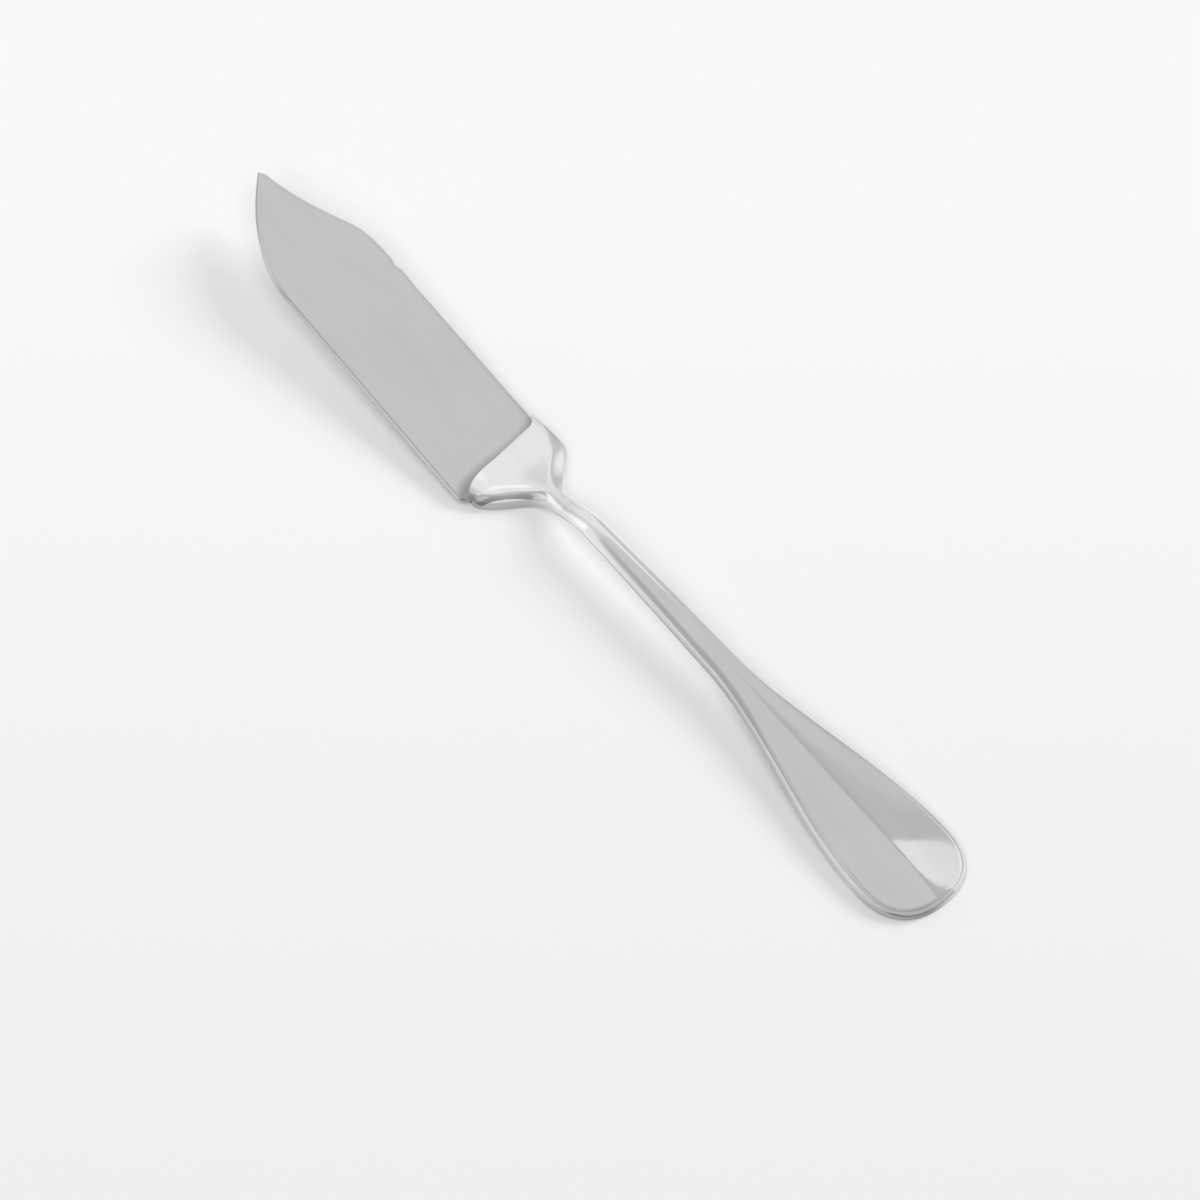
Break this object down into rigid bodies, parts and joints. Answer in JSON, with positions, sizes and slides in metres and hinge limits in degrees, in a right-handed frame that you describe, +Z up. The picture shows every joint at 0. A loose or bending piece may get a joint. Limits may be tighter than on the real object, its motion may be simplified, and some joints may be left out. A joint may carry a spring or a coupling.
{
  "type": "fish knife",
  "caption": "Table fish knife: flat notched blade soldered into a flared shoulder, on an arched handle that widens to a rounded, ridged end.",
  "frame": {"origin": "middle of the rest flat under the handle's end, on the surface that the knife lies on", "axes": "+X along the knife towards the tip of the blade, +Y towards the blade's curved belly, +Z up"},
  "size_m": [0.2039, 0.0244, 0.013],
  "materials": {
    "handle_metal": "polished silver plate with fine wear",
    "shoulder_metal": "polished silver plate",
    "blade_metal": "polished silver plate with fine straight scratches",
    "solder": "dull silver solder"
  },
  "bodies": {
    "root": {"handle": "handle_metal", "neck_seam_solder": "solder", "shoulder": "shoulder_metal", "blade_seam_solder": "solder", "blade": "blade_metal"}
  },
  "joints": []
}
